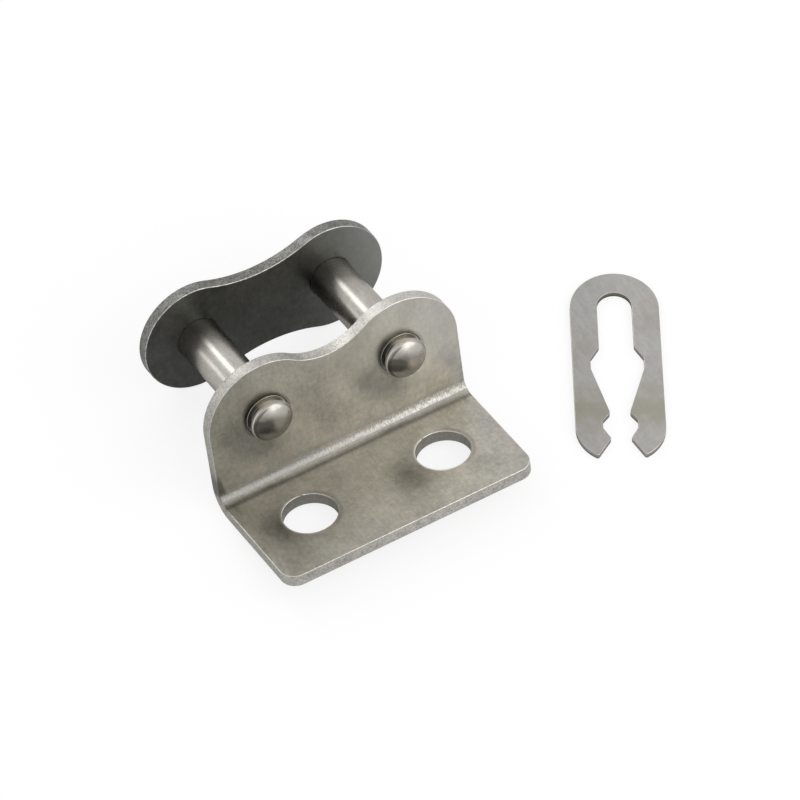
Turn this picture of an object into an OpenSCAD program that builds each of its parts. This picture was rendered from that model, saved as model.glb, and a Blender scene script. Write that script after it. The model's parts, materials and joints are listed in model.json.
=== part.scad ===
// Connecting link of a roller chain. Its cover plate is folded out into a drilled attachment foot,
// and its spring clip lies beside it. Millimetres.
// X runs along the pitch and the foot points towards -Y. The origin is the centre of the link:
// midway between the pins and midway between the plates. Put down on a table, the link leans back
// onto the bend of its foot and the lower edge of its pin plate, and it is drawn as it rests.

/* [Chain] */
// Distance between the axes of the two pins
pitch = 19.05; // [15:0.05:26]
// Gap between the two plates, which takes the inner link
plate_gap = 16.1; // [12:0.1:20]

/* [Pins] */
// Diameter of a pin's shank
pin_d = 5.72; // [5:0.01:6.5]
// Diameter of the groove that takes the spring clip
groove_d = 4.3; // [3.6:0.05:4.8]
// Width of the groove, from the cover plate to the head
groove_w = 1; // [0.9:0.05:1.6]
// Straight rim of the head
head_rim = 0.5; // [0.3:0.05:1]
// Height of the crown on the head
head_crown = 0.9; // [0.5:0.05:1.4]
// How far the spread end behind the pin plate stands out round the shank
rivet_spread = 0.4; // [0.1:0.05:0.8]
// Height of the spread end
rivet_h = 0.7; // [0.4:0.05:1.2]
// Radial gap between a pin and its hole in the cover plate
cover_slip = 0.05; // [0.02:0.01:0.1]

/* [Pin plate] */
// Thickness of the pin plate
pin_plate_t = 1.65; // [1.2:0.05:2.4]
// Height of the pin plate across a round end
pin_plate_h = 15; // [13:0.1:17]
// Height of the pin plate at its waist
pin_plate_waist = 11.4; // [9:0.1:12.6]

/* [Attachment plate] */
// Thickness of the sheet
sheet_t = 1.65; // [1.2:0.05:2.4]
// Diameter of the round shoulders about the pins
shoulder_d = 16.2; // [14:0.1:18]
// Height of the waist above the pin axes
waist_rise = 5.1; // [4:0.1:6.5]
// Distance from the pin axes down to the underside of the foot
foot_drop = 11.9; // [10.5:0.1:15]
// Distance from the front face of the cover plate to the front edge of the foot
foot_reach = 17.3; // [14:0.1:24]
// Inside radius of the bend
bend_r = 1.5; // [0.5:0.1:2.5]
// Radius of the front corners of the foot
foot_corner_r = 2.1; // [0.5:0.1:4]
// Diameter of the two fixing holes in the foot
fixing_d = 7; // [4:0.1:8]
// Distance between the centres of the fixing holes
fixing_spacing = 19.05; // [14:0.05:22]
// Distance from the front face of the cover plate to the centres of the fixing holes
fixing_reach = 8.3; // [6.5:0.1:10]

/* [Spring clip] */
// Thickness of the clip
clip_t = 0.8; // [0.5:0.05:0.9]
// Width of the clip over its legs
clip_w = 11.3; // [10:0.1:13]
// Width of the metal round the closed end
clip_end_wall = 3.1; // [2.5:0.1:4]
// Gap all round between the clip and the groove of a pin
clip_slip = 0.05; // [0.02:0.01:0.15]
// Width of the relief half way along the slot
relief_w = 6.7; // [5.6:0.1:7.4]
// Distance from the closed-end pin to the end of the straight slot
slot_len = 6.4; // [5:0.1:8]
// Distance from the end of the straight slot to the relief
relief_ramp = 1.9; // [1:0.1:3]
// Length of the straight bottom of the relief
relief_len = 1.6; // [0.6:0.1:2]
// Width of the gap between the two noses that hold the second pin
nose_gap = 2.6; // [2:0.1:3.4]
// Length of the straight end of a nose
nose_len = 0.35; // [0.2:0.05:1]
// Distance from the noses to the second pin
nose_back = 2.1; // [1.8:0.1:3]
// Distance that the flat bottom of the notch reaches back from the second pin
notch_back = 0.95; // [0.4:0.05:1.2]
// Distance that the flat bottom of the notch reaches past the second pin
notch_past = 0.2; // [0.1:0.05:0.8]
// Width of the gap between the lips at the open end
lip_gap = 2.5; // [2:0.1:3.4]
// Distance from the second pin to the lips
lip_reach = 1.8; // [1.5:0.1:3]
// Distance from the second pin to where the sides of the tips meet
tip_reach = 4.5; // [4:0.05:6.5]
// Distance between those two points
tip_gap = 5.9; // [5:0.1:8]
// Radius of the corners along the slot and of the blunt tips
clip_round = 0.3; // [0.1:0.05:0.4]

/* [Clip on the table] */
// Distance from the end of the foot to the closed-end pin centre, along X
clip_aside = 23.1; // [18:0.1:40]
// Distance of the closed-end pin centre behind the centre of the link
clip_back = -9.7; // [-20:0.1:10]
// Turn of the clip, its open end towards the foot
clip_turn = 29.2; // [0:0.1:45]

/* [Hidden] */
$fn = 64;
overrun = 1;

// How far an arc is drawn past the straight edge that it runs into, so that the two meet at a clear point
skin = 0.0005;

half_pitch = pitch / 2;
pin_r = pin_d / 2;
groove_r = groove_d / 2;
half_gap = plate_gap / 2;

// Outer face of the pin plate and front face of the cover plate, measured from the middle of the gap
pin_plate_face = half_gap + pin_plate_t;
cover_face = half_gap + sheet_t;

// The foot is as wide as the cover plate over its shoulders
shoulder_r = shoulder_d / 2;
foot_w = pitch + shoulder_d;
foot_front = cover_face + foot_reach;

// Centre of the bend, and its outside radius
bend_y = -cover_face - bend_r;
bend_z = sheet_t + bend_r - foot_drop;
bend_outer_r = bend_r + sheet_t;

// The table touches the outside of the bend and the lower outer edge of the pin plate
pin_plate_r = pin_plate_h / 2;
prop_y = pin_plate_face - bend_y;
prop_z = -pin_plate_r - bend_z;
lean = atan2(prop_z, prop_y) + asin(bend_outer_r / norm([prop_y, prop_z]));
table_z = -pin_plate_face * sin(lean) - pin_plate_r * cos(lean);

// Right edge of the clip's slot, from the closed-end pin at the origin out to past the tip. The open
// end points to -Y. The second pin lies in the notch, one pitch down.
slot_r = groove_r + clip_slip;
relief_start = slot_len + relief_ramp;
nose_end = pitch - nose_back;
lip = [lip_gap / 2, -pitch - lip_reach];
tip = [tip_gap / 2, -pitch - tip_reach];
slot_edge = [
    [slot_r, 0], [slot_r, -slot_len],
    [relief_w / 2, -relief_start], [relief_w / 2, -relief_start - relief_len],
    [nose_gap / 2, nose_len - nose_end], [nose_gap / 2, -nose_end],
    [slot_r, notch_back - pitch], [slot_r, -pitch - notch_past],
    lip, 2 * tip - lip
];
corners = [1:len(slot_edge) - 2];

// Closed end of the clip, a half circle about clip_end_y, and its legs. From beside the second pin an
// arc about leg_centre takes each leg in to its tip.
clip_r = clip_w / 2;
clip_end_y = slot_r + clip_end_wall - clip_r;
tip_in = clip_r - tip_gap / 2;
leg_arc_r = (pow(tip_in, 2) + pow(tip_reach, 2)) / (2 * tip_in);
leg_centre = [clip_r - leg_arc_r, -pitch];

// Half width of the shapes that the clip's strip is cut with, and how far down they reach
cut_x = clip_r + overrun;
cut_y = pitch + leg_arc_r;

// The arc that blunts a tip touches the inside of the leg's arc and the end face, which runs to the lip
end_face = unit(lip - tip);
face_inward = [end_face.y, -end_face.x];
from_leg = tip + clip_round * face_inward - leg_centre;
along_face = -from_leg * end_face
    - sqrt(pow(from_leg * end_face, 2) - from_leg * from_leg + pow(leg_arc_r - clip_round, 2));
blunt_centre = leg_centre + from_leg + along_face * end_face;

// Radius of the waist arc that meets two end circles of radius end_r smoothly at the height rise
function waist_r(end_r, rise) = (pow(half_pitch, 2) + pow(rise, 2) - pow(end_r, 2)) / (2 * (end_r - rise));

// Point where the waist arc meets the end circle on the right
function waist_meet(end_r, rise) =
    let (arc_r = waist_r(end_r, rise), share = end_r / (end_r + arc_r))
    [half_pitch * (1 - share), (rise + arc_r) * share];

// Vector of length 1 in the direction of v
function unit(v) = v / norm(v);

// Directions from corner i of the slot's edge to the corner before it and to the one after it
function before(i) = unit(slot_edge[i - 1] - slot_edge[i]);
function after(i) = unit(slot_edge[i + 1] - slot_edge[i]);

// Half the angle between those two sides, and the centre of the arc that rounds the corner
function half_angle(i) = acos(before(i) * after(i)) / 2;
function arc_centre(i) = slot_edge[i] + unit(before(i) + after(i)) * clip_round / sin(half_angle(i));

// Direction from that centre square to the side whose direction is d
function square_to(i, d) =
    let (to_corner = slot_edge[i] - arc_centre(i)) unit(to_corner - (to_corner * d) * d);

// Whether corner i is a corner of the metal that sticks out, rather than a hollow one
function sticks_out(i) = cross(before(i), after(i)) < 0;

// Leans the link back as it rests
module at_rest() {
    rotate([-lean, 0, 0]) children();
}

// Turns a shape drawn in X and Y upright, so that it is extruded from the depth y towards -Y
module upright(y, thickness) {
    translate([0, y, 0]) rotate([90, 0, 0]) linear_extrude(thickness) children();
}

// Upper half of a link plate's outline: two round shoulders with a waist between them
module shoulders(end_r, rise) {
    arc_r = waist_r(end_r, rise);
    meet = waist_meet(end_r, rise);
    difference() {
        union() {
            for (side = [-1, 1]) translate([side * half_pitch, 0]) circle(end_r);
            polygon([[-half_pitch, 0], [half_pitch, 0], meet, [-meet.x, meet.y]]);
        }
        translate([0, rise + arc_r]) circle(arc_r);
    }
}

// Outline of the pin plate, the same above and below
module pin_plate_outline() {
    shoulders(pin_plate_r, pin_plate_waist / 2);
    mirror([0, 1]) shoulders(pin_plate_r, pin_plate_waist / 2);
}

// Plain plate that both pins are pressed into
module pin_plate() {
    color("dimgray") at_rest() upright(pin_plate_face, pin_plate_t)
        difference() {
            pin_plate_outline();
            for (side = [-1, 1]) translate([side * half_pitch, 0]) circle(pin_r);
        }
}

// Low round dome on a flat base, cut from a ball
module dome(base_r, height) {
    ball_r = (pow(base_r, 2) + pow(height, 2)) / (2 * height);
    intersection() {
        cylinder(r = base_r, h = height);
        translate([0, 0, height - ball_r]) sphere(ball_r);
    }
}

// Turned pin, standing along Z with its head up and the middle of its shank at 0
module pin() {
    head_z = cover_face + groove_w;
    translate([0, 0, -pin_plate_face]) cylinder(r = pin_r, h = pin_plate_face + cover_face);
    translate([0, 0, cover_face]) cylinder(r = groove_r, h = groove_w);
    translate([0, 0, head_z]) cylinder(r = pin_r, h = head_rim);
    translate([0, 0, head_z + head_rim]) dome(pin_r, head_crown);
    translate([0, 0, -pin_plate_face]) mirror([0, 0, 1]) dome(pin_r + rivet_spread, rivet_h);
}

module pin_at(side) {
    color("silver") at_rest() translate([side * half_pitch, 0, 0]) rotate([90, 0, 0]) pin();
}

module pin_left() {
    pin_at(-1);
}

module pin_right() {
    pin_at(1);
}

// Section of the folded sheet, drawn with X for depth and Y for height
module fold_section() {
    translate([-cover_face, bend_z]) square([sheet_t, shoulder_r - bend_z]);
    translate([-foot_front, -foot_drop]) square([foot_front + bend_y, sheet_t]);
    translate([bend_y, bend_z]) intersection() {
        difference() {
            circle(bend_outer_r);
            circle(bend_r);
        }
        translate([0, -bend_outer_r - overrun]) square(bend_outer_r + overrun);
    }
}

// What stays of the upright sheet, seen from the front
module cover_outline() {
    translate([-foot_w / 2, -foot_drop - overrun]) square([foot_w, foot_drop + overrun]);
    shoulders(shoulder_r, waist_rise);
}

// What stays of the flat sheet, seen from above, with its front corners rounded
module foot_outline() {
    inner_w = foot_w - 2 * foot_corner_r;
    translate([-foot_w / 2, foot_corner_r - foot_front]) square([foot_w, foot_front]);
    translate([-inner_w / 2, -foot_front]) square([inner_w, foot_front]);
    for (side = [-1, 1])
        translate([side * inner_w / 2, foot_corner_r - foot_front]) circle(foot_corner_r);
}

// Cover plate with its attachment foot, one folded sheet
module attachment_plate() {
    color("lightslategray") at_rest() difference() {
        intersection() {
            rotate([90, 0, 90]) linear_extrude(foot_w + 2 * overrun, center = true) fold_section();
            upright(0, foot_front + overrun) cover_outline();
            translate([0, 0, -foot_drop - overrun])
                linear_extrude(foot_drop + shoulder_r + 2 * overrun) foot_outline();
        }
        for (side = [-1, 1]) {
            translate([side * half_pitch, -half_gap + overrun, 0]) rotate([90, 0, 0])
                cylinder(r = pin_r + cover_slip, h = sheet_t + 2 * overrun);
            translate([side * fixing_spacing / 2, -cover_face - fixing_reach, -foot_drop - overrun])
                cylinder(d = fixing_d, h = sheet_t + 2 * overrun);
        }
    }
}

// What an arc of radius clip_round about centre leaves over of a corner whose sides it touches in the
// directions a and b
module corner_rest(centre, a, b) {
    translate(centre) difference() {
        polygon(2 * clip_round * [[0, 0], a, a + b, b]);
        circle(clip_round + skin);
    }
}

// The same for corner i of the slot's edge
module slot_corner_rest(i) {
    corner_rest(arc_centre(i), square_to(i, before(i)), square_to(i, after(i)));
}

// Right half of the clip's slot with its corners rounded, and the point that is cut off the right tip
module half_slot() {
    past_tip = slot_edge[len(slot_edge) - 1];
    difference() {
        polygon([[0, 0], each slot_edge, [0, past_tip.y]]);
        for (i = corners) if (!sticks_out(i)) slot_corner_rest(i);
    }
    for (i = corners) if (sticks_out(i)) slot_corner_rest(i);
    corner_rest(blunt_centre, -face_inward, unit(blunt_centre - leg_centre));
}

// What the arc at the open end leaves of the right leg, together with all the rest of the strip
module right_leg() {
    translate(leg_centre) circle(leg_arc_r + skin);
    translate([-cut_x, -pitch]) square([2 * cut_x, pitch + cut_x]);
    translate([-cut_x, -cut_y]) square([cut_x, leg_arc_r]);
}

// Outline of the clip without its slot: a strip with a round closed end and an arc at the end of each leg
module clip_blank() {
    intersection() {
        translate([-clip_r, -cut_y]) square([clip_w, cut_y + cut_x]);
        union() {
            translate([0, clip_end_y]) circle(clip_r + skin);
            translate([-cut_x, -cut_y]) square([2 * cut_x, cut_y + clip_end_y]);
        }
        right_leg();
        mirror([1, 0]) right_leg();
    }
}

// Flat spring clip, lying on the table beside the link
module spring_clip() {
    color("gainsboro") translate([foot_w / 2 + clip_aside, clip_back, table_z]) rotate([0, 0, -clip_turn])
        linear_extrude(clip_t) difference() {
            clip_blank();
            circle(slot_r);
            half_slot();
            mirror([1, 0]) half_slot();
        }
}

pin_plate();
pin_left();
pin_right();
attachment_plate();
spring_clip();
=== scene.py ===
"""Looks of a roller chain's connecting link with a drilled foot, and of its loose spring clip.

The solids come packed and are kept as they are. This script breaks their edges, gives each one its
steel, and sets the table, the lamps and the camera. Lengths are metres.
"""

import json
import logging
import math
from dataclasses import dataclass
from enum import Enum
from typing import Union

import bpy
from mathutils import Matrix, Vector


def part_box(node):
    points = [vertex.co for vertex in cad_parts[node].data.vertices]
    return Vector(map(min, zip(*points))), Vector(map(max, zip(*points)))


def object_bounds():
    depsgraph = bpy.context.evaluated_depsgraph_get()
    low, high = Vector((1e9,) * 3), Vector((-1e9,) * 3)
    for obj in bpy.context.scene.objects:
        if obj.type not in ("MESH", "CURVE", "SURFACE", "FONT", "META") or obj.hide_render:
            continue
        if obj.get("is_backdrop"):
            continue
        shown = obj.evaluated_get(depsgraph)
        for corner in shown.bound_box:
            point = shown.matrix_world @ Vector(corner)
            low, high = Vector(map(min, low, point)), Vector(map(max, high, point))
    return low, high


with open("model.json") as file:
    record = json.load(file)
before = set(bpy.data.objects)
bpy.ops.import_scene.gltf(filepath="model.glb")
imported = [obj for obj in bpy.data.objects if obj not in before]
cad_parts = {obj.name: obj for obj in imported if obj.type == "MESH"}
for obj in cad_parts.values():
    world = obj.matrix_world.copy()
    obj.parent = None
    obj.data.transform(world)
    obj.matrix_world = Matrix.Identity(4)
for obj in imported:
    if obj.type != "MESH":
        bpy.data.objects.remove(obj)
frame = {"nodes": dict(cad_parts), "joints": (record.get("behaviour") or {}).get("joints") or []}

log = logging.getLogger("chain_link")

MM = 0.001
UP = Vector((0, 0, 1))

Triple = tuple[float, float, float]
Colour = Triple
Input = Union["Val", float, Colour]

BLACK: Colour = (0.0, 0.0, 0.0)


class Mix(Enum):
    """The ways in which two colours are laid over each other."""

    BLEND = "MIX"
    MULTIPLY = "MULTIPLY"


class Patches(Enum):
    """Uneven patches: the noise at which they start and are full, its finer layers and their strength."""

    CLOUDS = (0.3, 0.7, 3.0, 0.5)
    FINE_CLOUDS = (0.3, 0.7, 2.0, 0.5)
    HUES = (0.4, 0.6, 2.0, 0.5)
    STAINS = (0.5, 0.7, 4.0, 0.6)
    STREAKS = (0.35, 0.65, 3.0, 0.6)
    FLECKS = (0.6, 0.4, 3.0, 0.65)
    STROKES = (0.36, 0.62, 3.0, 0.6)
    TORN = (0.34, 0.6, 3.0, 0.6)
    TORN_COARSELY = (0.35, 0.65, 2.0, 0.5)
    WEAR = (0.35, 0.55, 2.0, 0.5)


class Ray(Enum):
    """Kinds of rays: from the camera, off something shiny and through something clear."""

    CAMERA = "Is Camera Ray"
    GLOSSY = "Is Glossy Ray"
    TRANSMISSION = "Is Transmission Ray"


@dataclass(frozen=True)
class Axes:
    """Directions of a thing as it lies on the table: along it, to its back and up."""

    along: Vector
    back: Vector
    up: Vector
    half_pitch: float = 9.525 * MM

    @classmethod
    def from_slide(cls, axis: list[float]) -> "Axes":
        """Works out the link's axes from the way in which the cover plate comes off its pins.

        Args:
            axis: Direction of the slide joint, from the pin plate to the front.

        Returns:
            The axes: along the pitch, along the pins and up.
        """
        along = Vector((1, 0, 0))
        back = -Vector(axis).normalized()
        return cls(along, back, along.cross(back))


class Val:
    """A number or vector that varies over a surface, written with ordinary operators."""

    def __init__(self, shade: "Shade", socket: bpy.types.NodeSocket) -> None:
        """Wraps one output socket of a node that the builder has made."""
        self.shade = shade
        self.socket = socket

    def _math(self, operation: str, *values: Input) -> "Val":
        """Adds one Math node, with its inputs in order."""
        return self.shade.node("ShaderNodeMath", {"operation": operation}, dict(enumerate(values)))

    def __add__(self, other: Input) -> "Val":
        """Sum."""
        return self._math("ADD", self, other)

    def __radd__(self, other: Input) -> "Val":
        """Sum, with the number first."""
        return self._math("ADD", other, self)

    def __sub__(self, other: Input) -> "Val":
        """Difference."""
        return self._math("SUBTRACT", self, other)

    def __rsub__(self, other: Input) -> "Val":
        """Difference, with the number first."""
        return self._math("SUBTRACT", other, self)

    def __mul__(self, other: Input) -> "Val":
        """Product."""
        return self._math("MULTIPLY", self, other)

    def __rmul__(self, other: Input) -> "Val":
        """Product, with the number first."""
        return self._math("MULTIPLY", other, self)

    def __abs__(self) -> "Val":
        """Size without sign."""
        return self._math("ABSOLUTE", self)

    def above(self, low: float, high: float) -> "Val":
        """Rises smoothly from 0 at low to 1 at high.

        Args:
            low: Where the rise starts.
            high: Where it ends. If it is below low, the mask falls instead.

        Returns:
            A mask from 0 to 1.
        """
        falls = high < low
        first, last = sorted((low, high))
        ends = {"From Min": first, "From Max": last, "To Min": float(falls), "To Max": float(not falls)}
        settings = {"interpolation_type": "SMOOTHSTEP"}
        return self.shade.node("ShaderNodeMapRange", settings, {"Value": self, **ends}, "Result")

    def near(self, middle: float, reach: float) -> "Val":
        """Rises smoothly to 1 at the middle, and is 0 from the reach outwards on both sides."""
        return abs(self - middle).above(reach, 0)

    def sign(self) -> "Val":
        """The value's sign: -1 or 1, and 0 at 0."""
        return self._math("SIGN", self)

    def root(self) -> "Val":
        """Square root."""
        return self._math("SQRT", self)

    def turn_from(self, other: "Val") -> "Val":
        """Angle of a point whose height is this value and whose depth is the other one, in radians."""
        return self._math("ARCTAN2", self, other)

    def most(self, other: Input) -> "Val":
        """The larger of two values."""
        return self._math("MAXIMUM", self, other)

    def dot(self, direction: Vector) -> "Val":
        """How far a vector reaches along a direction."""
        inputs = {0: self, 1: tuple(direction)}
        return self.shade.node("ShaderNodeVectorMath", {"operation": "DOT_PRODUCT"}, inputs, "Value")

    def stretched(self, factors: Triple) -> "Val":
        """A vector with each part multiplied by its own factor."""
        return self.shade.node("ShaderNodeVectorMath", {"operation": "MULTIPLY"}, {0: self, 1: factors})


class Shade:
    """Builds the nodes of one material or of the surroundings."""

    def __init__(self, tree: bpy.types.NodeTree) -> None:
        """Starts with an empty tree."""
        self.tree = tree
        tree.nodes.clear()

    def node(
        self,
        kind: str,
        settings: dict[str, object] | None = None,
        inputs: dict[Union[str, int], Input] | None = None,
        output: Union[str, int, None] = 0,
    ) -> Val | None:
        """Adds a node of any type.

        Args:
            kind: The node's type.
            settings: Its properties, which are set first.
            inputs: Values or links of its sockets, by name or by number.
            output: Which output to hand on, or None for the node that ends the tree.

        Returns:
            That output as a value.
        """
        made = self.tree.nodes.new(kind)
        for key, value in (settings or {}).items():
            setattr(made, key, value)
        for key, value in (inputs or {}).items():
            if isinstance(value, Val):
                self.tree.links.new(value.socket, made.inputs[key])
            else:
                made.inputs[key].default_value = value
        return None if output is None else Val(self, made.outputs[output])

    def seen_by(self, *rays: Ray) -> Val:
        """Picks out some kinds of rays.

        Args:
            rays: The kinds, at least one.

        Returns:
            A mask, 1 for these rays and 0 for all others.
        """
        first, *others = (self.node("ShaderNodeLightPath", output=ray.value) for ray in rays)
        for other in others:
            first = first.most(other)
        return first

    def joined(self, x: Input, y: Input = 0.0) -> Val:
        """A vector from its first two parts."""
        return self.node("ShaderNodeCombineXYZ", None, {"X": x, "Y": y})

    def tint(self, base: Input, over: Input, share: Input, way: Mix = Mix.BLEND) -> Val:
        """Lays one colour over another.

        Args:
            base: The colour below.
            over: The colour on top.
            share: How much of it shows, from 0 to 1.
            way: How the two go together.

        Returns:
            The mixed colour.
        """
        inputs = {"Factor": share, 6: _opaque(base), 7: _opaque(over)}
        settings = {"data_type": "RGBA", "blend_type": way.value, "clamp_factor": True}
        return self.node("ShaderNodeMix", settings, inputs, 2)


def _opaque(colour: Input) -> Union[Val, tuple[float, ...]]:
    """Adds full alpha to a plain colour and leaves a value alone."""
    return (*colour, 1.0) if isinstance(colour, tuple) else colour


def squared(one: Val, other: Val) -> Val:
    """The sum of two squares."""
    return one * one + other * other


class Skin(Shade):
    """The nodes of a piece's finish, with the point that they colour, measured along the piece's axes."""

    def __init__(self, tree: bpy.types.NodeTree, axes: Axes) -> None:
        """Starts with an empty tree, and measures the point and how squarely the surface faces each way.

        Args:
            tree: The node tree to fill.
            axes: The piece's axes.
        """
        super().__init__(tree)
        ways = (axes.along, axes.back, axes.up)
        self.place = self.node("ShaderNodeTexCoord", output="Object")
        self.along, self.back, self.up = (self.place.dot(way) for way in ways)
        self.aside = self.along - self.along.sign() * axes.half_pitch
        facing = self.node("ShaderNodeTexCoord", output="Normal")
        self.faces_along, self.faces_back, self.faces_up = (abs(facing.dot(way)) for way in ways)

    def noise(
        self, grain: float, detail: float = 2.0, roughness: float = 0.5, place: Val | None = None
    ) -> Val:
        """Uneven values that vary over about one length.

        Args:
            grain: That length in metres.
            detail: How many finer layers are added.
            roughness: How strong the finer layers are.
            place: Where, if not at the point itself.

        Returns:
            A number about 0.5.
        """
        where = place or self.place
        inputs = {"Vector": where, "Scale": 1 / grain, "Detail": detail, "Roughness": roughness}
        return self.node("ShaderNodeTexNoise", None, inputs, "Fac")

    def patches(self, grain: float, kind: Patches, place: Val | None = None) -> Val:
        """Uneven patches with soft limits.

        Args:
            grain: Size of a patch in metres.
            kind: Which patches.
            place: Where, if not at the point itself.

        Returns:
            A mask from 0 to 1.
        """
        start, full, detail, roughness = kind.value
        return self.noise(grain, detail, roughness, place).above(start, full)

    def pits(self, spacing: float, radius: float) -> Val:
        """Small scattered dots.

        Args:
            spacing: Rough distance between dots in metres.
            radius: Radius of a dot in metres.

        Returns:
            A mask, 1 inside a dot and 0 between them.
        """
        inputs = {"Vector": self.place, "Scale": 1 / spacing, "Randomness": 1.0}
        distance = self.node("ShaderNodeTexVoronoi", {"feature": "F1"}, inputs, "Distance")
        return distance.above(radius / spacing, 0.5 * radius / spacing)

    def bump(self, height: Val, distance: float) -> Val:
        """Turns a height from 0 to 1 into bent normals.

        Args:
            height: The height over the surface.
            distance: What a height of 1 is in metres.

        Returns:
            The normals.
        """
        inputs = {"Height": height, "Distance": distance, "Strength": 1.0}
        return self.node("ShaderNodeBump", None, inputs, "Normal")


@dataclass(frozen=True)
class Fade:
    """A soft step along a measure: where it starts, where it is full, and how strong it is there."""

    start: float
    full: float
    share: float = 1.0

    def over(self, measure: Val) -> Val:
        """The step's mask, for a measure that varies over the surface."""
        return measure.above(self.start, self.full) * self.share


@dataclass(frozen=True)
class Line:
    """A soft line across a measure: where its middle is, how far it reaches and how strong it is."""

    middle: float
    reach: float
    share: float = 1.0

    def over(self, measure: Val) -> Val:
        """The line's mask, for a measure that varies over the surface."""
        return measure.near(self.middle, self.reach) * self.share


@dataclass(frozen=True)
class Steel:
    """A steel finish: its colour, how sharp its shine is, and how uneven its surface is."""

    slot: str
    colour: Colour
    roughness: float
    shine_depth: float = 0.1
    grain: float = 0.2 * MM
    grain_height: float = 0.006 * MM
    cloud: float = 5 * MM
    fine_cloud: float = 5 / 6 * MM
    coarse_clouds: float = 0.65
    cloud_depth: float = 0.3
    hue_patch: float = 1.75 * MM
    hue_shift: Colour = (0.975, 1.0, 0.985)
    stain_patch: float = 7 * MM
    stain: Colour = (0.36, 0.31, 0.24)
    stain_share: float = 0.24
    streak: float = 0.4 * MM
    streak_stretch: Triple = (1.0, 0.16, 0.16)
    streak_depth: float = 0.08
    fleck: float = 0.44 * MM
    fleck_depth: float = 0.115

    def start(self, axes: Axes) -> tuple[bpy.types.Material, Skin]:
        """Makes the material, without its nodes.

        Args:
            axes: The piece's axes.

        Returns:
            The material, and the skin that its nodes are built on.
        """
        material = bpy.data.materials.new(self.slot)
        material.use_nodes = True
        return material, Skin(material.node_tree, axes)

    def clouds(self, skin: Skin) -> Val:
        """Soft uneven patches over the whole piece.

        Args:
            skin: The piece's skin.

        Returns:
            A mask from 0 to 1.
        """
        coarse = skin.patches(self.cloud, Patches.CLOUDS)
        fine = skin.patches(self.fine_cloud, Patches.FINE_CLOUDS)
        return coarse * self.coarse_clouds + fine * (1 - self.coarse_clouds)

    def body_colour(self, skin: Skin) -> Val:
        """The steel's colour with its clouds, faint stains, drawn streaks and fine flecks.

        Args:
            skin: The piece's skin.

        Returns:
            The colour.
        """
        dark = tuple(c * (1 - self.cloud_depth) for c in self.colour)
        colour = skin.tint(dark, self.colour, self.clouds(skin))
        hues = skin.patches(self.hue_patch, Patches.HUES)
        colour = skin.tint(colour, self.hue_shift, hues, Mix.MULTIPLY)
        stains = skin.patches(self.stain_patch, Patches.STAINS)
        colour = skin.tint(colour, self.stain, stains * self.stain_share)
        streaks = skin.patches(self.streak, Patches.STREAKS, skin.place.stretched(self.streak_stretch))
        colour = skin.tint(colour, BLACK, streaks * self.streak_depth)
        flecks = skin.patches(self.fleck, Patches.FLECKS)
        return skin.tint(colour, BLACK, flecks * self.fleck_depth)

    def uneven_shine(self, skin: Skin) -> Val:
        """The roughness, a little higher and lower with the clouds."""
        return self.roughness + (self.clouds(skin) - 0.5) * self.shine_depth

    def finish(self, skin: Skin, colour: Input, roughness: Input, normal: Val, bare: Input = 1.0) -> None:
        """Ends the tree with the metal shader.

        Args:
            skin: The piece's skin.
            colour: Base colour.
            roughness: Roughness.
            normal: Bent normals.
            bare: How much of the surface is bare metal.
        """
        inputs = {"Base Color": _opaque(colour), "Metallic": bare, "Roughness": roughness, "Normal": normal}
        shader = skin.node("ShaderNodeBsdfPrincipled", None, inputs, "BSDF")
        skin.node("ShaderNodeOutputMaterial", None, {"Surface": shader}, None)


@dataclass(frozen=True)
class Bend:
    """The hollow side of a fold in sheet metal: its centre in the section, its radius and half length."""

    depth: float
    height: float
    radius: float
    half_length: float
    surroundings: Fade = Fade(1.9, 1.5)
    stroke_stretch: float = 0.6

    def rise(self, skin: Skin) -> Val:
        """How far a point lies above the centre of the bend."""
        return skin.up - self.height

    def share(self, skin: Skin) -> Val:
        """How far round the bend a point lies: 0 where the upright part ends, 1 where the foot starts."""
        depth = skin.back - self.depth
        return (0 - self.rise(skin)).turn_from(depth) * (2 / math.pi)

    def strokes(self, skin: Skin, width: float) -> Val:
        """Short scratches that run round the bend, from the upright part to the foot.

        Args:
            skin: The piece's skin.
            width: Width of a scratch in metres.

        Returns:
            A number from 0 to 1.
        """
        round_it = self.share(skin) * (self.stroke_stretch * self.radius)
        return skin.patches(width, Patches.STROKES, skin.joined(skin.along, round_it))

    def inside(self, skin: Skin) -> Val:
        """Marks the hollow surface and a little of the flat beside it on both sides."""
        reach = squared(skin.back - self.depth, self.rise(skin))
        return self.surroundings.over(reach * (1 / self.radius**2))


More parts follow.
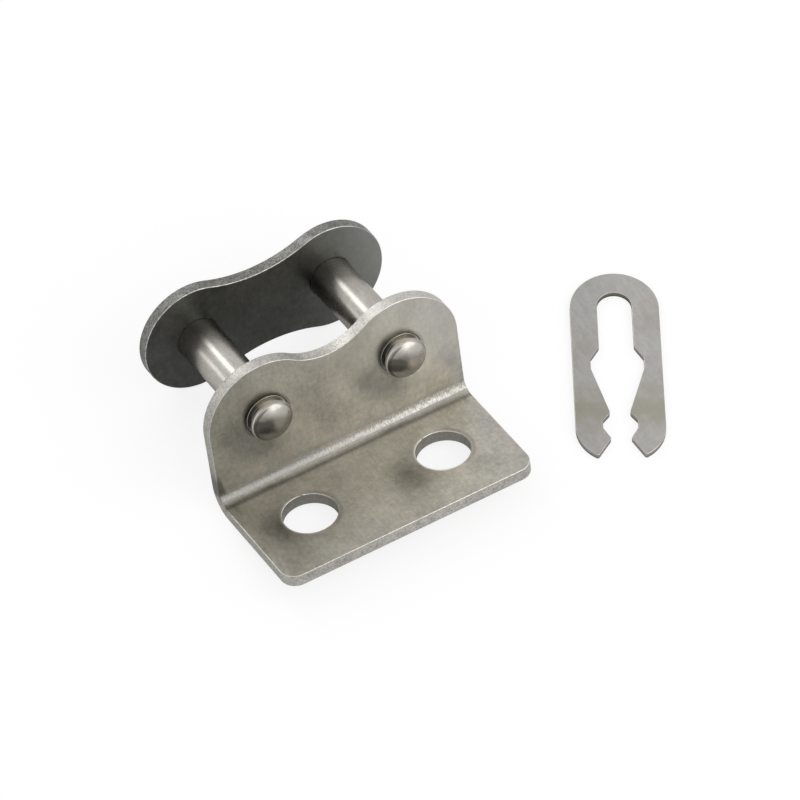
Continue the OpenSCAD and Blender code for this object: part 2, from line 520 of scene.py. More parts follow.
@dataclass(frozen=True)
class PressMarks:
    """What the bend shows: a bright drawn band that the press left, and painted shade for dark lines, a
    dented end and creases.
    """

    bend: Bend
    stroke_width: float = 0.2 * MM
    raggedness: float = 0.07
    band_top: Fade = Fade(0.04, 0.2, 0.9)
    band_foot: Fade = Fade(0.57, 0.52)
    band_dark: Colour = (0.31, 0.30, 0.27)
    band_bright: Colour = (0.64, 0.625, 0.575)
    least_contrast: float = 0.4
    more_contrast: Fade = Fade(-10 * MM, 12 * MM, 0.6)
    shaded_left: Fade = Fade(14 * MM, -14 * MM, 0.3)
    top_line: Line = Line(0.04, 0.1, 0.2)
    middle_line: Line = Line(0.59, 0.05, 0.5)
    foot_line: Line = Line(0.98, 0.26, 0.55)
    lower_half_shade: Fade = Fade(0.54, 0.6, 0.16)
    lower_end: Fade = Fade(1.0, 0.85)
    end_width: float = 1.1 * MM
    left_end: Fade = Fade(0.0, -MM)
    dent_slope: float = 0.16
    dent_side: Fade = Fade(0.0, 0.4 * MM, 0.7)
    dent_top: Fade = Fade(4 * MM, 1.2 * MM)
    dent_foot: Fade = Fade(0.3, 0.14)
    crease: Line = Line(0.0, 0.45 * MM, 0.35)
    crease_front: Fade = Fade(2.4 * MM, 0.4 * MM)
    crease_start: Fade = Fade(0.8, 1.0)

    def band(self, skin: Skin, strokes: Val, colour: Val) -> Val:
        """Lays the bright band, which was drawn over the press's edge, on the upper half of the bend.

        Args:
            skin: The piece's skin.
            strokes: The scratches round the bend.
            colour: The colour so far.

        Returns:
            The colour with the band.
        """
        share = self.bend.share(skin)
        contrast = self.least_contrast + self.more_contrast.over(skin.along)
        drawn = skin.tint(self.band_dark, self.band_bright, (strokes - 0.5) * contrast + 0.5)
        # Painted shade: the band is darker towards the left.
        drawn = skin.tint(drawn, BLACK, self.shaded_left.over(skin.along))
        ragged = share + (strokes - 0.5) * self.raggedness
        band = self.bend.inside(skin) * self.band_top.over(ragged) * self.band_foot.over(share)
        return skin.tint(colour, drawn, band)

    def fold_shade(self, skin: Skin, strokes: Val) -> Val:
        """Marks painted shade in the bend: dark lines that run along it, and its darker lower half.

        Args:
            skin: The piece's skin.
            strokes: The scratches round the bend.

        Returns:
            A mask from 0 to 1.
        """
        share = self.bend.share(skin)
        ragged = share + (strokes - 0.5) * self.raggedness
        fold_shade = self.middle_line.over(share).most(self.foot_line.over(ragged))
        fold_shade = fold_shade.most(self.top_line.over(ragged))
        fold_shade = fold_shade.most(self.lower_half_shade.over(share) * self.lower_end.over(share))
        return self.bend.inside(skin) * fold_shade

    def ends(self, skin: Skin) -> Val:
        """Marks painted shade for a dent above the left end of the bend and for creases in front of both
        ends.

        Args:
            skin: The piece's skin.

        Returns:
            A mask from 0 to 1.
        """
        share, rise = self.bend.share(skin), self.bend.rise(skin)
        inwards = abs(skin.along) - (self.bend.half_length - self.end_width)
        dent = self.dent_side.over(inwards - rise * self.dent_slope) * self.left_end.over(skin.along)
        dent = dent * self.dent_top.over(rise) * self.dent_foot.over(share)
        out = self.bend.depth - skin.back
        crease = self.crease.over(inwards) * self.crease_front.over(out) * self.crease_start.over(share)
        return dent + crease

    def over(self, skin: Skin, grime_and_shade: Colour, colour: Val) -> Val:
        """Lays all the marks over a colour: the drawn band, and the painted shade of the lines, the dent and
        the creases.

        Args:
            skin: The piece's skin.
            grime_and_shade: Colour of the dark marks, which are painted shade.
            colour: The colour so far.

        Returns:
            The colour with the marks.
        """
        strokes = self.bend.strokes(skin, self.stroke_width)
        colour = self.band(skin, strokes, colour)
        # Painted shade: dark lines along the bend and its darker lower half.
        colour = skin.tint(colour, grime_and_shade, self.fold_shade(skin, strokes))
        # Painted shade for the dent and the creases.
        return skin.tint(colour, grime_and_shade, self.ends(skin))


@dataclass(frozen=True)
class PunchedSheet(Steel):
    """Tumbled sheet steel whose outline and holes were punched, so that its cut edges are grainy."""

    edge_colour: Colour = (0.79, 0.765, 0.705)
    edge_turn: Fade = Fade(0.5, 0.2)
    edge_grain: float = 0.22 * MM
    edge_height: float = 0.05 * MM
    edge_depth: float = 0.46
    edge_roughness: float = 0.06
    fine_torn: float = 0.72
    coarse_torn: float = 1.1 * MM
    rim_colour: Colour = (0.97, 0.95, 0.9)
    rim_share: float = 0.95
    wear_grain: float = 0.5 * MM
    least_wear: float = 0.4
    # Dark colour of the specks, which is also laid on as painted shade.
    grime_and_shade: Colour = (0.12, 0.115, 0.10)
    speck_spacing: float = 1.6 * MM
    speck_radius: float = 0.11 * MM
    speck_share: float = 0.25

    def grainy(self, skin: Skin, rough_part: Val) -> Val:
        """Bends the normals: fine grain on the faces, coarse grain where the metal was cut or drawn.

        Args:
            skin: The piece's skin.
            rough_part: Mask of the coarse parts.

        Returns:
            The normals.
        """
        fine = skin.noise(self.grain)
        coarse = skin.noise(self.edge_grain, detail=3.0, roughness=0.65)
        ratio = self.edge_height / self.grain_height
        height = fine * (1 - rough_part) + coarse * (rough_part * ratio)
        return skin.bump(height, self.grain_height)

    def torn_colour(self, skin: Skin) -> Val:
        """The colour of a cut edge, where fine and coarse patches of torn metal lie darker.

        Args:
            skin: The piece's skin.

        Returns:
            The colour.
        """
        fine = skin.patches(self.edge_grain, Patches.TORN)
        coarse = skin.patches(self.coarse_torn, Patches.TORN_COARSELY)
        torn = fine * self.fine_torn + coarse * (1 - self.fine_torn)
        deep = tuple(c * (1 - self.edge_depth) for c in self.edge_colour)
        return skin.tint(deep, self.edge_colour, torn)

    def dressed_colour(self, skin: Skin, edge: Val, rim: Val) -> Val:
        """Body colour with darker cut edges, burnished rims and a few dark specks.

        Args:
            skin: The piece's skin.
            edge: Mask of the cut edges.
            rim: Mask of the rounded rims between faces and cut edges.

        Returns:
            The colour.
        """
        colour = skin.tint(self.body_colour(skin), self.torn_colour(skin), edge)
        specks = skin.pits(self.speck_spacing, self.speck_radius)
        colour = skin.tint(colour, self.grime_and_shade, specks * self.speck_share)
        wear = skin.patches(self.wear_grain, Patches.WEAR) * (1 - self.least_wear)
        return skin.tint(colour, self.rim_colour, rim * (self.least_wear + wear) * self.rim_share)


@dataclass(frozen=True)
class PlateFinish(PunchedSheet):
    """Finish of a flat plate, whose faces look along the pins, painted paler towards its right end as
    painted light.
    """

    rim_start: Fade = Fade(0.35, 0.55)
    rim_end: Fade = Fade(0.99, 0.93)
    pale: Colour = (0.52, 0.52, 0.5)
    painted_light_end: Fade = Fade(4 * MM, 17 * MM, 0.4)

    def material(self, axes: Axes) -> bpy.types.Material:
        """Builds the finish.

        Args:
            axes: The link's axes.

        Returns:
            The material.
        """
        made, skin = self.start(axes)
        edge = self.edge_turn.over(skin.faces_back)
        rim = self.rim_start.over(skin.faces_back) * self.rim_end.over(skin.faces_back)
        colour = self.dressed_colour(skin, edge, rim)
        # Painted light: the plate is paler towards its right end.
        colour = skin.tint(colour, self.pale, self.painted_light_end.over(skin.along) * (1 - edge))
        roughness = self.uneven_shine(skin) + edge * self.edge_roughness
        self.finish(skin, colour, roughness, self.grainy(skin, edge))
        return made


@dataclass(frozen=True, kw_only=True)
class FoldedFinish(PunchedSheet):
    """Finish of the cover plate and its foot, with the marks of its holes and of its bend, and painted light
    and shade.
    """

    marks: PressMarks
    limit: float = 0.05 * MM
    sideways_turn: Fade = Fade(0.8, 0.96)
    flat_part: Fade = Fade(0.5, 0.0)
    rim_turn: Fade = Fade(0.99, 0.94)
    pin_hole: Fade = Fade((3.4 * MM) ** 2, (3.2 * MM) ** 2)
    pin_hole_shade: float = 0.5
    pin_hole_rim_shade: float = 0.85
    hole_reach: float = 6.8 * MM
    hole_highlight: Line = Line(3.62 * MM, 0.22 * MM, 0.8)
    hole_highlight_side: Fade = Fade(0.0, -2 * MM)
    hole_shadow: Line = Line(3.85 * MM, 0.5 * MM, 0.4)
    hole_shadow_side: Fade = Fade(0.5 * MM, 3 * MM)
    hole_shade_colour: Colour = (0.41, 0.40, 0.355)
    hole_shade_share: float = 0.75
    walls_reach: float = 13.5 * MM
    walls_inset: Fade = Fade(0.4 * MM, 0.6 * MM)
    painted_shade_right_edge: Fade = Fade(0.0, 12 * MM, 0.12)
    # Painted light and shade: darker on the left and paler at the upper right, with uneven limits.
    patch: float = 9 * MM
    patch_shift: float = 14 * MM
    above_bend: Fade = Fade(0.0, 8 * MM)
    above_foot: Fade = Fade(-0.6 * MM, 0.4 * MM)
    painted_shade_left: Fade = Fade(10 * MM, -11 * MM, 0.24)
    shade_on_foot: float = 0.62
    more_shade_above_foot: float = 0.36
    less_shade_above_bend: float = 0.16
    pale: Colour = (0.90, 0.885, 0.83)
    painted_light_right: Fade = Fade(-4 * MM, 16 * MM, 0.3)
    drawn_start: Fade = Fade(0.0, 0.15, 0.8)
    drawn_end: Fade = Fade(1.0, 0.8)

    def cut_edge(self, skin: Skin) -> Val:
        """Marks the faces that the punch left: the outline and the walls of the holes.

        Args:
            skin: The piece's skin.

        Returns:
            A mask, 1 on a cut edge.
        """
        bend = self.marks.bend
        sideways = self.sideways_turn.over(skin.faces_along)
        across = self.edge_turn.over(skin.faces_back)
        below = self.edge_turn.over(skin.faces_up)
        on_foot = skin.back.above(bend.depth + self.limit, bend.depth - self.limit)
        upright = bend.rise(skin).above(-self.limit, self.limit)
        return sideways.most(across * upright).most(below * on_foot)

    def in_fixing_holes(self, skin: Skin) -> Val:
        """Marks the walls of the fixing holes, which lie well inside the foot's outline.

        Args:
            skin: The piece's skin.

        Returns:
            A mask from 0 to 1.
        """
        depth, back = skin.back, self.marks.bend.depth
        front, fade = back - self.walls_reach, 2 * self.limit
        within = depth.above(front, front + fade) * depth.above(back, back - fade)
        return within * self.walls_inset.over(self.marks.bend.half_length - abs(skin.along))

    def at_pins(self, skin: Skin) -> Val:
        """Marks the rims of the two holes that the pins go through."""
        return self.pin_hole.over(squared(skin.aside, skin.up))

    def hole_highlights_and_shadows(self, skin: Skin, colour: Val) -> Val:
        """Draws a painted highlight on the left rims of the fixing holes, and a painted shadow as a soft
        dark line round their right sides.

        Args:
            skin: The piece's skin.
            colour: The colour so far.

        Returns:
            The colour with the marks.
        """
        aside = skin.aside
        out = skin.back - (self.marks.bend.depth - self.hole_reach)
        radius = squared(aside, out).root()
        lit_rim = self.hole_highlight.over(radius) * self.hole_highlight_side.over(aside)
        shaded_ring = self.hole_shadow.over(radius) * self.hole_shadow_side.over(aside)
        # Painted highlight on the left rims, then painted shadow round the right sides.
        colour = skin.tint(colour, self.rim_colour, lit_rim)
        return skin.tint(colour, self.grime_and_shade, shaded_ring)

    def sheet_colour(self, skin: Skin, edge: Val) -> Val:
        """The punched sheet's colour with its rims, the marks of its holes and of its bend, and painted
        light and shade round its holes and in its bend.

        Args:
            skin: The piece's skin.
            edge: Mask of the cut edges.

        Returns:
            The colour.
        """
        at_pins = self.at_pins(skin)
        squarest = skin.faces_along.most(skin.faces_back).most(skin.faces_up)
        rim = self.rim_turn.over(squarest) * self.flat(skin) * (1 - edge)
        # Painted shade round the pin holes, under the heads: the burnished line fades there and the rims are
        # darkened.
        colour = self.dressed_colour(skin, edge, rim * (1 - at_pins * self.pin_hole_rim_shade))
        colour = skin.tint(colour, self.grime_and_shade, at_pins * self.pin_hole_shade)
        # Painted shade: the cut edges are darker towards the right.
        colour = skin.tint(colour, BLACK, edge * self.painted_shade_right_edge.over(skin.along))
        colour = self.hole_highlights_and_shadows(skin, colour)
        # Painted shade inside the fixing holes: their walls are darker than the other cut edges.
        hole_shade = edge * self.in_fixing_holes(skin) * self.hole_shade_share
        colour = skin.tint(colour, self.hole_shade_colour, hole_shade)
        return self.marks.over(skin, self.grime_and_shade, colour)

    def flat(self, skin: Skin) -> Val:
        """Marks all but the bend."""
        return self.flat_part.over(self.marks.bend.inside(skin))

    def painted_light_and_shade(self, skin: Skin, colour: Val) -> Val:
        """Paints shade on the left side and light on the upper right side, with uneven limits.

        Args:
            skin: The piece's skin.
            colour: The colour so far.

        Returns:
            The colour with the painted light and shade.
        """
        uneven = skin.along + (skin.noise(self.patch) - 0.5) * self.patch_shift
        rise = self.marks.bend.rise(skin)
        above_bend, above_foot = self.above_bend.over(rise), self.above_foot.over(rise)
        depth = self.shade_on_foot + above_foot * self.more_shade_above_foot - above_bend * self.less_shade_above_bend
        colour = skin.tint(colour, BLACK, self.painted_shade_left.over(uneven) * depth)
        pale = self.painted_light_right.over(uneven) * above_bend * self.flat(skin)
        return skin.tint(colour, self.pale, pale)

    def material(self, axes: Axes) -> bpy.types.Material:
        """Builds the finish.

        Args:
            axes: The link's axes.

        Returns:
            The material.
        """
        made, skin = self.start(axes)
        bend = self.marks.bend
        edge = self.cut_edge(skin)
        colour = self.painted_light_and_shade(skin, self.sheet_colour(skin, edge))
        share = bend.share(skin)
        drawn = bend.inside(skin) * self.drawn_start.over(share) * self.drawn_end.over(share)
        roughness = self.uneven_shine(skin) + edge * self.edge_roughness
        self.finish(skin, colour, roughness, self.grainy(skin, edge.most(drawn)))
        return made


@dataclass(frozen=True)
class TurnedPin(Steel):
    """Ground and polished pin steel, with fine rings and a duller, pitted head, and with painted light,
    shade and highlights on its shank, groove and head.
    """

    shine_depth: float = 0.08
    radius: float = 2.86 * MM
    ring_pitch: float = 0.12 * MM
    ring_share: float = 0.35
    pit_spacing: float = 1.9 * MM
    pit_radius: float = 0.15 * MM
    pit_depth: float = 2.0
    pit_share: float = 0.5
    root: Fade = Fade(0.0, 8.05 * MM, 0.8)
    root_shade_patch: float = 4 * MM
    groove_from: float = -9.72 * MM
    rim_from: float = -10.7 * MM
    dome_from: float = -11.2 * MM
    limit: float = 0.04 * MM
    # Dark colour of the pits, which is also laid on as painted shade.
    grime_and_shade: Colour = (0.07, 0.065, 0.055)
    # Colour of the painted highlights on the head.
    painted_highlight: Colour = (0.93, 0.91, 0.85)
    groove_top_light: Colour = (0.60, 0.55, 0.42)
    dome_colour: Colour = (0.36, 0.334, 0.286)
    groove_shade: float = 0.85
    lit_groove_rise: Fade = Fade(MM, 2 * MM)
    lit_groove_cover: float = 0.9
    wall_roughness: float = 0.3
    slant: float = 0.5
    dome_share: float = 0.9
    left_dome_shade: Fade = Fade(MM, -MM, 0.26)
    lit_side: Fade = Fade(0.8 * MM, 2 * MM, 0.42)
    wall_darkening: Fade = Fade(0.5 * MM, -2 * MM, 0.6)
    wall_end: float = 0.2 * MM
    edge_highlight: float = 0.5
    shoulder_highlight: Line = Line(0.17 * MM, 0.14 * MM)
    shoulder_highlight_side: Fade = Fade(0.5 * MM, -MM)
    border: Fade = Fade(0.74, 0.96, 0.6)
    border_side: Fade = Fade(-2 * MM, MM)
    crescent: Line = Line(0.79, 0.12, 0.75)
    crescent_slope: float = 0.3
    crescent_side: Fade = Fade(-0.5 * MM, -2 * MM)
    dark_reflection_grain: float = 1.2 * MM
    dark_reflection_shift: float = 0.8 * MM
    dark_reflection_aside: Line = Line(-1.8 * MM, 2.6 * MM)
    dark_reflection_rise: Line = Line(0.3 * MM, 1.7 * MM)
    dark_reflection: Fade = Fade(0.05, 0.6, 0.8)

    def in_groove(self, skin: Skin) -> Val:
        """Marks the groove between the cover plate and the head."""
        front = skin.back.above(self.groove_from + self.limit, self.groove_from - self.limit)
        return front * skin.back.above(self.rim_from - self.limit, self.rim_from + self.limit)

    def on_dome(self, skin: Skin) -> Val:
        """Marks the domed end of the head."""
        return skin.back.above(self.dome_from + 1.5 * self.limit, self.dome_from)

    def lit_groove_top(self, skin: Skin) -> Val:
        """Marks the top of the groove, which is painted pale and less metallic as painted light."""
        return self.in_groove(skin) * self.lit_groove_rise.over(skin.up + skin.aside * self.slant)

    def dome_tone(self, skin: Skin, colour: Val) -> Val:
        """Lays the dome's duller tone over the colour, with painted shade on the left pin's dome and a
        painted highlight at the top right.

        Args:
            skin: The piece's skin.
            colour: The colour so far.

        Returns:
            The colour with the dome's tone.
        """
        dome = self.on_dome(skin)
        colour = skin.tint(colour, self.dome_colour, dome * self.dome_share)
        # Painted shade on the left pin's dome.
        colour = skin.tint(colour, self.grime_and_shade, dome * self.left_dome_shade.over(skin.along))
        upwards = skin.up + skin.aside * self.slant
        # Painted highlight at the dome's top right.
        return skin.tint(colour, self.painted_highlight, dome * self.lit_side.over(upwards))

    def wall_shade_and_highlights(self, skin: Skin, colour: Val) -> Val:
        """Draws painted shade on the left of the head's straight wall, between two painted highlight lines.

        Args:
            skin: The piece's skin.
            colour: The colour so far.

        Returns:
            The colour with the marks.
        """
        depth = skin.back
        sideways = skin.aside + skin.up * self.slant
        wall = depth.above(self.rim_from, self.rim_from - 2 * self.limit)
        wall = wall * depth.above(self.dome_from, self.dome_from + self.wall_end)
        edge = depth.near(self.rim_from - 2 * self.limit, 3 * self.limit)
        shoulder_highlight = self.shoulder_highlight.over(depth - self.dome_from) * self.shoulder_highlight_side.over(sideways)
        # Painted shade on the left of the wall, and painted highlight lines at its edge and its shoulder.
        colour = skin.tint(colour, self.grime_and_shade, wall * self.wall_darkening.over(sideways))
        colour = skin.tint(colour, self.painted_highlight, edge * self.edge_highlight)
        return skin.tint(colour, self.painted_highlight, shoulder_highlight)

    def dome_shade_and_reflection(self, skin: Skin, colour: Val) -> Val:
        """Draws painted shade as a dark border at the dome's lower right and a crescent at its left, and a
        painted dark reflection.

        Args:
            skin: The piece's skin.
            colour: The colour so far.

        Returns:
            The colour with the marks.
        """
        dome = self.on_dome(skin)
        aside, rise = skin.aside, skin.up
        out = squared(aside, rise) * (1 / self.radius**2)
        border = self.border.over(out) * self.border_side.over(aside - rise)
        crescent = self.crescent.over(out) * self.crescent_side.over(aside - rise * self.crescent_slope)
        uneven = (skin.noise(self.dark_reflection_grain) - 0.5) * self.dark_reflection_shift
        dark_reflection = self.dark_reflection_aside.over(aside + uneven) * self.dark_reflection_rise.over(rise + uneven)
        # Painted shade at the dome's border and crescent, then a painted dark reflection.
        colour = skin.tint(colour, self.grime_and_shade, border * dome)
        colour = skin.tint(colour, self.grime_and_shade, crescent * dome)
        return skin.tint(colour, self.grime_and_shade, self.dark_reflection.over(dark_reflection) * dome)

    def material(self, axes: Axes) -> bpy.types.Material:
        """Builds the finish.

        Args:
            axes: The link's axes.

        Returns:
            The material.
        """
        made, skin = self.start(axes)
        dome, lit_groove_top = self.on_dome(skin), self.lit_groove_top(skin)
        pits = skin.pits(self.pit_spacing, self.pit_radius) * dome
        # Painted shade: the shank darkens towards the pin plate, with an uneven limit.
        uneven = (skin.noise(self.root_shade_patch, detail=1.0) - 0.5) * self.root_shade_patch
        root = self.root.over(skin.back + uneven)
        colour = skin.tint(self.body_colour(skin), self.grime_and_shade, (pits * self.pit_share).most(root))
        # Painted shade in the groove between the cover plate and the head.
        colour = skin.tint(colour, self.grime_and_shade, self.in_groove(skin) * self.groove_shade)
        # Painted light: the top of the groove is pale and less metallic.
        colour = skin.tint(colour, self.groove_top_light, lit_groove_top)
        colour = self.dome_tone(skin, colour)
        colour = self.wall_shade_and_highlights(skin, colour)
        colour = self.dome_shade_and_reflection(skin, colour)
        behind_dome = skin.back.above(self.groove_from, self.groove_from - 2.5 * self.limit) * (1 - dome)
        roughness = self.uneven_shine(skin) + behind_dome * self.wall_roughness
        rings = skin.noise(self.ring_pitch, place=skin.joined(skin.back))
        height = rings * self.ring_share + skin.noise(self.grain) * (1 - self.ring_share)
        height = height - pits * self.pit_depth
        bare = 1 - lit_groove_top * self.lit_groove_cover
        self.finish(skin, colour, roughness, skin.bump(height, self.grain_height), bare)
        return made


@dataclass(frozen=True)
class RolledSpring(Steel):
    """Smooth rolled spring steel with a faint straw tint from hardening towards the open end, painted shade
    on its left arm and a painted shadow where it touches the table.
    """

    shine_depth: float = 0.06
    patch: float = 2 * MM
    patch_shift: float = 7 * MM
    straw: Colour = (0.39, 0.377, 0.30)
    straw_zone: Line = Line(6.7 * MM, 5 * MM, 0.8)
    painted_shade_left_arm: Fade = Fade(-2 * MM, 5 * MM, 0.1)
    wall_turn: Fade = Fade(0.4, 0.2)
    wall_colour: Colour = (0.2, 0.175, 0.125)
    wall_share: float = 0.225
    wall_roughness: float = 0.1
    closed_end: Fade = Fade(-6 * MM, -8 * MM, 0.525)
    closed_patch: float = 0.4
    rim_turn: Fade = Fade(0.97, 0.8, 0.7)
    rim_colour: Colour = (0.86, 0.85, 0.83)
    contact_shadow: Fade = Fade(0.35 * MM, 0.05 * MM, 0.8)
    contact_shadow_colour: Colour = (0.03, 0.03, 0.025)

    def material(self, axes: Axes, middle: Vector, table: float) -> bpy.types.Material:
        """Builds the finish.

        Args:
            axes: The clip's axes, whose back points towards the tips.
            middle: The middle of the clip's box.
            table: Height of the table.

        Returns:
            The material.
        """
        made, skin = self.start(axes)
        along, aside = skin.back - middle.dot(axes.back), skin.along - middle.dot(axes.along)
        uneven = (skin.noise(self.patch, detail=4.0, roughness=0.6) - 0.5) * self.patch_shift
        straw = self.straw_zone.over(along + uneven)
        colour = skin.tint(self.body_colour(skin), self.straw, straw)
        # Painted shade: the left arm is a little darker.
        colour = skin.tint(colour, BLACK, self.painted_shade_left_arm.over(aside))
        wall = self.wall_turn.over(skin.faces_up)
        colour = skin.tint(colour, self.rim_colour, self.rim_turn.over(skin.faces_up) * (1 - wall))
        wall_darkening = self.wall_share + self.closed_end.over(along + uneven * self.closed_patch)
        colour = skin.tint(colour, self.wall_colour, wall * wall_darkening)
        # Painted shadow where the walls touch the table.
        contact_shadow = self.contact_shadow.over(skin.up - table)
        colour = skin.tint(colour, self.contact_shadow_colour, wall * contact_shadow)
        roughness = self.uneven_shine(skin) + wall * self.wall_roughness
        self.finish(skin, colour, roughness, skin.bump(skin.noise(self.grain), self.grain_height))
        return made


@dataclass
class Piece:
    """One solid of the link, with the break of its edges and its finish."""

    node: str
    edge_break: float
    finish: Steel
    joining_gap: float = 0.0005 * MM
    flat_turn: float = math.radians(0.3)
    sharp_turn: float = math.radians(24)
    break_steps: int = 3
    round_steps: int = 6
    depth_limit: float = 0.01 * MM

    def build(self) -> bpy.types.Object:
        """Joins the solid's faces, rounds its sharp edges a little and shades it smoothly.

        Returns:
            The solid's own object.
        """
        solid = frame["nodes"][self.node]
        for polygon in solid.data.polygons:
            polygon.use_smooth = True
        normals = solid.data.attributes.get("custom_normal")
        if normals is not None:
            solid.data.attributes.remove(normals)
        weld = solid.modifiers.new("joined_faces", "WELD")
        weld.merge_threshold = self.joining_gap
        flat = solid.modifiers.new("plain_faces", "DECIMATE")
        flat.decimate_type = "DISSOLVE"
        flat.angle_limit = self.flat_turn
        bevel = solid.modifiers.new("edge_break", "BEVEL")
        bevel.width = self.edge_break
        bevel.segments = self.break_steps
        bevel.limit_method = "ANGLE"
        bevel.angle_limit = self.sharp_turn
        bevel.harden_normals = True
        bevel.miter_outer = "MITER_ARC"
        return solid

    def round_over(self, solid: bpy.types.Object, axes: Axes, depth: float, radius: float) -> None:
        """Rounds the edges that lie at one depth along the pins, before the other edges are broken.

        Args:
            solid: The object, which has its other modifiers already.
            axes: The piece's axes.
            depth: Where the edges lie.
            radius: How far the rounding reaches.
        """
        group = solid.vertex_groups.new(name="rounded_over")
        offsets = [(v.index, v.co.dot(axes.back) - depth) for v in solid.data.vertices]
        group.add([i for i, offset in offsets if abs(offset) < self.depth_limit], 1.0, "REPLACE")
        bevel = solid.modifiers.new("rounded_over", "BEVEL")
        bevel.width = radius
        bevel.segments = self.round_steps
        bevel.limit_method = "VGROUP"
        bevel.vertex_group = group.name
        solid.modifiers.move(len(solid.modifiers) - 1, solid.modifiers.find("edge_break"))

    def dress(self, solid: bpy.types.Object, steel: bpy.types.Material) -> None:
        """Gives the solid its steel.

        Args:
            solid: The object to dress.
            steel: Its material.
        """
        solid.data.materials.clear()
        solid.data.materials.append(steel)


@dataclass
class PinnedPlate:
    """The pin plate with the two pins that are pressed into it."""

    axes: Axes
    plate_break: float = 0.14 * MM
    pin_break: float = 0.07 * MM
    head_round: float = 0.42 * MM
    plate_steel: PlateFinish = PlateFinish(
        "pin_plate_steel", colour=(0.22, 0.222, 0.21), roughness=0.36,
        edge_colour=(0.33, 0.326, 0.308), edge_depth=0.72, rim_colour=(0.72, 0.71, 0.67),
    )
    pin_steel: TurnedPin = TurnedPin(
        "pin_steel", colour=(0.66, 0.63, 0.58), roughness=0.26,
        grain_height=0.002 * MM, cloud_depth=0.12, fleck_depth=0.08,
    )

    def build(self) -> list[Piece]:
        """Builds and dresses the plate and both pins.

        Returns:
            The three pieces.
        """
        plate = Piece("pin_plate", self.plate_break, self.plate_steel)
        plate.dress(plate.build(), self.plate_steel.material(self.axes))
        steel = self.pin_steel.material(self.axes)
        pins = [Piece(f"pin_{side}", self.pin_break, self.pin_steel) for side in ("left", "right")]
        for pin in pins:
            solid = pin.build()
            pin.round_over(solid, self.axes, self.pin_steel.dome_from, self.head_round)
            pin.dress(solid, steel)
        return [plate, *pins]


@dataclass
class CoverPlate:
    """The loose plate that is folded out into the drilled foot."""

    axes: Axes
    edge_break: float = 0.2 * MM
    face: float = -9.7 * MM
    foot_top: float = -10.25 * MM
    bend_radius: float = 1.5 * MM
    half_width: float = 17.625 * MM

    def build(self) -> list[Piece]:
        """Builds and dresses the plate.

        Returns:
            The one piece.
        """
        depth, height = self.face - self.bend_radius, self.foot_top + self.bend_radius
        marks = PressMarks(Bend(depth, height, self.bend_radius, self.half_width))
        steel = FoldedFinish(
            "sheet_steel", colour=(0.657, 0.622, 0.556), roughness=0.32,
            grain_height=0.0045 * MM, marks=marks,
        )
        plate = Piece("attachment_plate", self.edge_break, steel)
        plate.dress(plate.build(), steel.material(self.axes))
        return [plate]


@dataclass
class SpringClip:
    """The flat clip that lies on the table beside the link."""

    turn: float = math.radians(29.2)
    edge_break: float = 0.07 * MM
    steel: RolledSpring = RolledSpring(
        "spring_steel", colour=(0.57, 0.555, 0.538), roughness=0.3,
        grain_height=0.003 * MM, cloud_depth=0.07, fleck_depth=0.06, hue_shift=(0.99, 0.985, 0.965),
    )

    def build(self) -> list[Piece]:
        """Builds and dresses the clip.

        Returns:
            The one piece.
        """
        low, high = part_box("spring_clip")
        towards_tips = Vector((-math.sin(self.turn), -math.cos(self.turn), 0))
        axes = Axes(towards_tips.cross(UP), towards_tips, UP)
        clip = Piece("spring_clip", self.edge_break, self.steel)
        clip.dress(clip.build(), self.steel.material(axes, (low + high) / 2, low.z))
        return [clip]


@dataclass
class Table:
    """The white table under the pieces. It isn't part of the link."""

    height: float
    half: float = 6.0
    paint: Colour = (0.8, 0.8, 0.8)
    seen_paint: Colour = (0.22, 0.22, 0.22)
    seen_glow: float = 0.82

    def build(self) -> None:
        """Builds the table: plain paint in reflections, and white with a soft shadow to the camera."""
        mesh = bpy.data.meshes.new("table")
        sides = ((-1, -1), (1, -1), (1, 1), (-1, 1))
        square = [(x * self.half, y * self.half, self.height) for x, y in sides]
        mesh.from_pydata(square, [], [(0, 1, 2, 3)])
        top = bpy.data.objects.new("table", mesh)
        bpy.context.scene.collection.objects.link(top)
        material = bpy.data.materials.new("white_table")
        material.use_nodes = True
        shade = Shade(material.node_tree)
        plain = shade.node("ShaderNodeBsdfDiffuse", None, {"Color": _opaque(self.paint)}, "BSDF")
        pale = shade.node("ShaderNodeBsdfDiffuse", None, {"Color": _opaque(self.seen_paint)}, "BSDF")
        glow = shade.node("ShaderNodeEmission", None, {"Strength": self.seen_glow}, "Emission")
        seen = shade.node("ShaderNodeAddShader", None, {0: pale, 1: glow})
        both = shade.node("ShaderNodeMixShader", None, {0: shade.seen_by(Ray.CAMERA), 1: plain, 2: seen})
        shade.node("ShaderNodeOutputMaterial", None, {"Surface": both}, None)
        mesh.materials.append(material)
        top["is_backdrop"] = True


@dataclass(frozen=True)
class Lamp:
    """A rectangular lamp that shines on the link from a given side and height."""

    name: str
    azimuth: float
    elevation: float
    distance: float
    width: float
    height: float
    radiance: float

    def build(self) -> None:
        """Builds the lamp, turned towards the middle of the link."""
        data = bpy.data.lights.new(self.name, "AREA")
        data.shape = "RECTANGLE"
        data.size, data.size_y = self.width, self.height
        data.energy = self.radiance * math.pi * self.width * self.height
        lamp = bpy.data.objects.new(self.name, data)
        bpy.context.scene.collection.objects.link(lamp)
        towards = _towards(self.azimuth, self.elevation)
        lamp.location = towards * self.distance
        lamp.rotation_mode = "QUATERNION"
        lamp.rotation_quaternion = towards.to_track_quat("Z", "Y")


def _towards(azimuth: float, elevation: float) -> Vector:
    """Direction from the link to a lamp or camera.

    Args:
        azimuth: Degrees round from the front, positive to the right.
        elevation: Degrees above the table.

    Returns:
        A direction of length 1.
    """
    turn, rise = math.radians(azimuth), math.radians(elevation)
    return Vector((math.sin(turn) * math.cos(rise), -math.cos(turn) * math.cos(rise), math.sin(rise)))


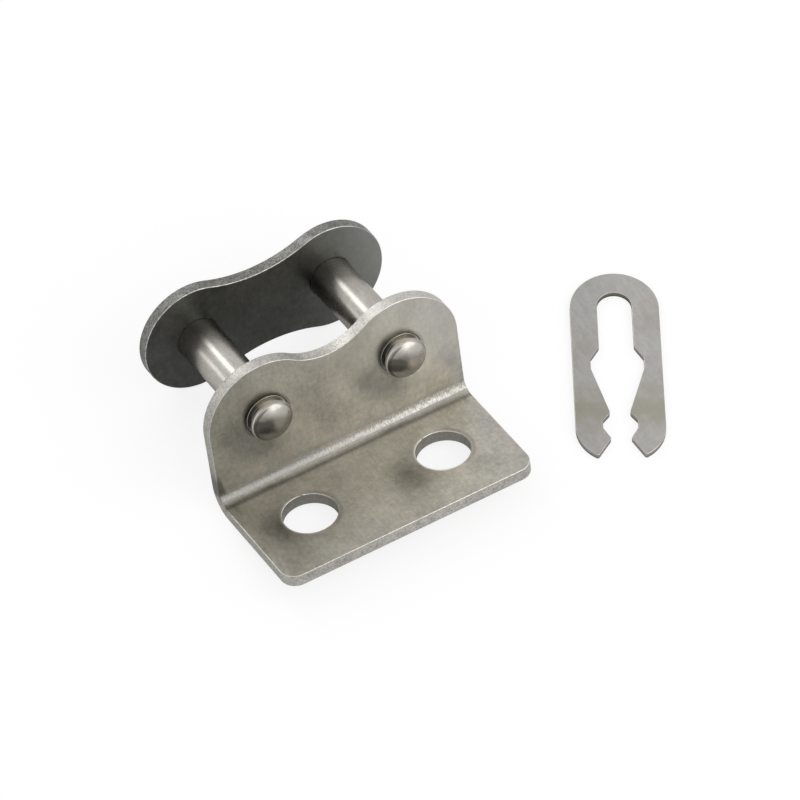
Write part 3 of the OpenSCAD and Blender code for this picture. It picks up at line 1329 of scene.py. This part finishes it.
@dataclass
class Studio:
    """The room round the table: evenly light with a dimmer ceiling, and white where it is seen or shines."""

    level: float = 0.9
    overhead: float = 0.55
    ceiling: Fade = Fade(0.87, 0.98)
    lamps: tuple[Lamp, ...] = (
        Lamp("back_strip", azimuth=188, elevation=35, distance=0.4, width=0.10, height=0.22, radiance=2.0),
        Lamp("left_panel", azimuth=222, elevation=9, distance=0.6, width=0.12, height=0.14, radiance=1.0),
        Lamp("front_window", azimuth=36, elevation=40, distance=0.6, width=0.50, height=0.54, radiance=1.0),
    )

    def build(self) -> None:
        """Builds the lamps and the surroundings."""
        for lamp in self.lamps:
            lamp.build()
        world = bpy.data.worlds.new("studio")
        bpy.context.scene.world = world
        world.use_nodes = True
        shade = Shade(world.node_tree)
        where = shade.node("ShaderNodeTexCoord", output="Generated")
        level = self.level - self.ceiling.over(where.dot(UP)) * (self.level - self.overhead)
        seen = shade.seen_by(Ray.CAMERA, Ray.GLOSSY, Ray.TRANSMISSION)
        strength = level * (1 - seen) + seen
        background = shade.node("ShaderNodeBackground", None, {"Strength": strength}, "Background")
        shade.node("ShaderNodeOutputWorld", None, {"Surface": background}, None)


@dataclass
class Camera:
    """The view of the photograph: a long lens that looks down on the link from the front left."""

    aim: Vector
    azimuth: float = -30.582
    elevation: float = 52.593
    distance: float = 0.8
    focal: float = 289.88
    sensor: float = 36.0
    nearest: float = 0.01
    farthest: float = 100.0

    def build(self) -> None:
        """Builds the camera and makes it the scene's."""
        data = bpy.data.cameras.new("camera")
        data.lens = self.focal
        data.sensor_width = self.sensor
        data.clip_start, data.clip_end = self.nearest, self.farthest
        camera = bpy.data.objects.new("camera", data)
        bpy.context.scene.collection.objects.link(camera)
        back = _towards(self.azimuth, self.elevation)
        camera.location = self.aim + back * self.distance
        right = UP.cross(back).normalized()
        camera.rotation_mode = "QUATERNION"
        camera.rotation_quaternion = Matrix((right, back.cross(right), back)).transposed().to_quaternion()
        bpy.context.scene.camera = camera


def main() -> None:
    """Builds the pieces, the table, the lamps and the camera."""
    logging.basicConfig(level=logging.INFO, format="%(message)s")
    solid_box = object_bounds()
    bpy.context.scene.view_settings.view_transform = "Standard"
    axes = Axes.from_slide(frame["joints"][0]["axis"])
    Camera(aim=Vector((8.12, -11.64, -4.22)) * MM).build()
    for part in (PinnedPlate(axes), CoverPlate(axes), SpringClip()):
        for piece in part.build():
            log.info("%s: edges broken by %.2f mm, %s", piece.node, piece.edge_break / MM, piece.finish.slot)
    Table(height=solid_box[0].z).build()
    Studio().build()


if __name__ == "__main__":
    main()
